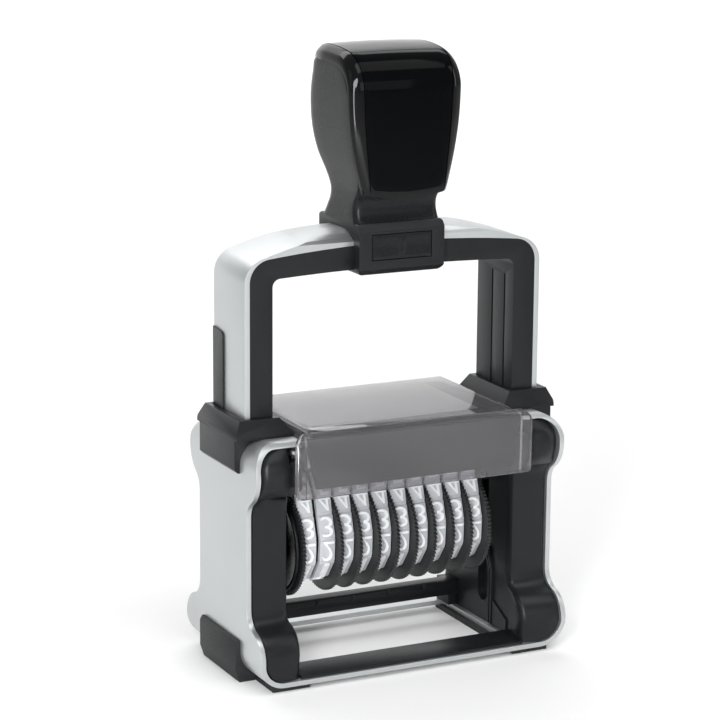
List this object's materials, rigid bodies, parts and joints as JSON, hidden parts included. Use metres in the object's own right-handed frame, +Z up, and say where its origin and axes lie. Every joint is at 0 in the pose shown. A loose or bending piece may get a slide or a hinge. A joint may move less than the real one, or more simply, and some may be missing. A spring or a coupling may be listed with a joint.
{
  "type": "self-inking band number stamp",
  "caption": "Press-down self-inking stamp: silver yoke and base, black knob grip, and a flip-over carriage of rubber number bands set by toothed wheels.",
  "frame": {"origin": "on the table, at the centre of the base's footprint", "axes": "+Z up along the press stroke, X across the bands from leg to leg, -Y towards the side that shows the ink cover's front plate"},
  "size_m": [0.0848, 0.0448, 0.1492],
  "materials": {
    "silver_shell": "satin silver lacquer",
    "black_plastic": "fine satin moulding",
    "foot_rubber": "matt",
    "steel": "bright drawn",
    "smoke_cover": "clear smoke-tinted moulding",
    "ink_felt": "ink-soaked felt",
    "grip_gloss": "polished",
    "window_gloss": "polished plate",
    "wheel_plastic": "satin",
    "band_rubber": "matt white rubber"
  },
  "bodies": {
    "base": {"base_shell": "silver_shell", "inner_frame_left": "black_plastic", "inner_frame_right": "black_plastic", "rail_front": "black_plastic", "rail_rear": "black_plastic", "foot_left": "foot_rubber", "foot_right": "foot_rubber", "collar_left": "black_plastic", "collar_right": "black_plastic", "spring_rods": "steel", "return_spring_left": "steel", "return_spring_right": "steel"},
    "cartridge": {"pad_cover": "smoke_cover", "pad_case": "black_plastic", "ink_pad": "ink_felt"},
    "yoke": {"yoke_shell": "silver_shell", "yoke_liner": "black_plastic", "leg_strips": "black_plastic", "lock_housing": "black_plastic", "grip_core": "grip_gloss", "grip_window": "window_gloss"},
    "lock": {"lock_button": "black_plastic"},
    "carriage": {"end_plate_left": "black_plastic", "end_plate_right": "black_plastic", "print_bar": "black_plastic", "wheel_axle": "steel", "pivot_pins": "steel", "tie_rods": "steel", "band_1": "band_rubber", "band_2": "band_rubber", "band_3": "band_rubber", "band_4": "band_rubber", "band_5": "band_rubber", "band_6": "band_rubber", "band_7": "band_rubber", "band_8": "band_rubber", "band_9": "band_rubber", "band_10": "band_rubber"},
    "digit_wheel_1": {"wheel_1": "wheel_plastic"},
    "digit_wheel_2": {"wheel_2": "wheel_plastic"},
    "digit_wheel_3": {"wheel_3": "wheel_plastic"},
    "digit_wheel_4": {"wheel_4": "wheel_plastic"},
    "digit_wheel_5": {"wheel_5": "wheel_plastic"},
    "digit_wheel_6": {"wheel_6": "wheel_plastic"},
    "digit_wheel_7": {"wheel_7": "wheel_plastic"},
    "digit_wheel_8": {"wheel_8": "wheel_plastic"},
    "digit_wheel_9": {"wheel_9": "wheel_plastic"},
    "digit_wheel_10": {"wheel_10": "wheel_plastic"}
  },
  "joints": [
    {"name": "yoke_press", "type": "slide", "parent": "base", "child": "yoke", "axis": [0, 0, -1], "range_m": [0, 0.03], "stiffness_N_per_m": 250, "springref_m": -0.016, "deforming": ["return_spring_left", "return_spring_right"]},
    {"name": "die_flip", "type": "hinge", "parent": "yoke", "child": "carriage", "pos_m": [0, 0, 0.04105], "axis": [1, 0, 0], "range_deg": [0, 180]},
    {"name": "lock_press", "type": "slide", "parent": "yoke", "child": "lock", "axis": [0, 1, 0], "range_m": [0, 0.0012], "stiffness_N_per_m": 800, "springref_m": -0.0005},
    {"name": "pad_pull", "type": "slide", "parent": "base", "child": "cartridge", "axis": [0, -1, 0], "range_m": [0, 0.042]},
    {"name": "wheel_turn_1", "type": "hinge", "parent": "carriage", "child": "digit_wheel_1", "pos_m": [0, 0, 0.03], "axis": [1, 0, 0], "continuous": true},
    {"name": "wheel_turn_2", "type": "hinge", "parent": "carriage", "child": "digit_wheel_2", "pos_m": [0, 0, 0.03], "axis": [1, 0, 0], "continuous": true},
    {"name": "wheel_turn_3", "type": "hinge", "parent": "carriage", "child": "digit_wheel_3", "pos_m": [0, 0, 0.03], "axis": [1, 0, 0], "continuous": true},
    {"name": "wheel_turn_4", "type": "hinge", "parent": "carriage", "child": "digit_wheel_4", "pos_m": [0, 0, 0.03], "axis": [1, 0, 0], "continuous": true},
    {"name": "wheel_turn_5", "type": "hinge", "parent": "carriage", "child": "digit_wheel_5", "pos_m": [0, 0, 0.03], "axis": [1, 0, 0], "continuous": true},
    {"name": "wheel_turn_6", "type": "hinge", "parent": "carriage", "child": "digit_wheel_6", "pos_m": [0, 0, 0.03], "axis": [1, 0, 0], "continuous": true},
    {"name": "wheel_turn_7", "type": "hinge", "parent": "carriage", "child": "digit_wheel_7", "pos_m": [0, 0, 0.03], "axis": [1, 0, 0], "continuous": true},
    {"name": "wheel_turn_8", "type": "hinge", "parent": "carriage", "child": "digit_wheel_8", "pos_m": [0, 0, 0.03], "axis": [1, 0, 0], "continuous": true},
    {"name": "wheel_turn_9", "type": "hinge", "parent": "carriage", "child": "digit_wheel_9", "pos_m": [0, 0, 0.03], "axis": [1, 0, 0], "continuous": true},
    {"name": "wheel_turn_10", "type": "hinge", "parent": "carriage", "child": "digit_wheel_10", "pos_m": [0, 0, 0.03], "axis": [1, 0, 0], "continuous": true}
  ],
  "couplings": [
    {"joint": "die_flip", "follows": "yoke_press", "rad_per_m": 104.72}
  ]
}
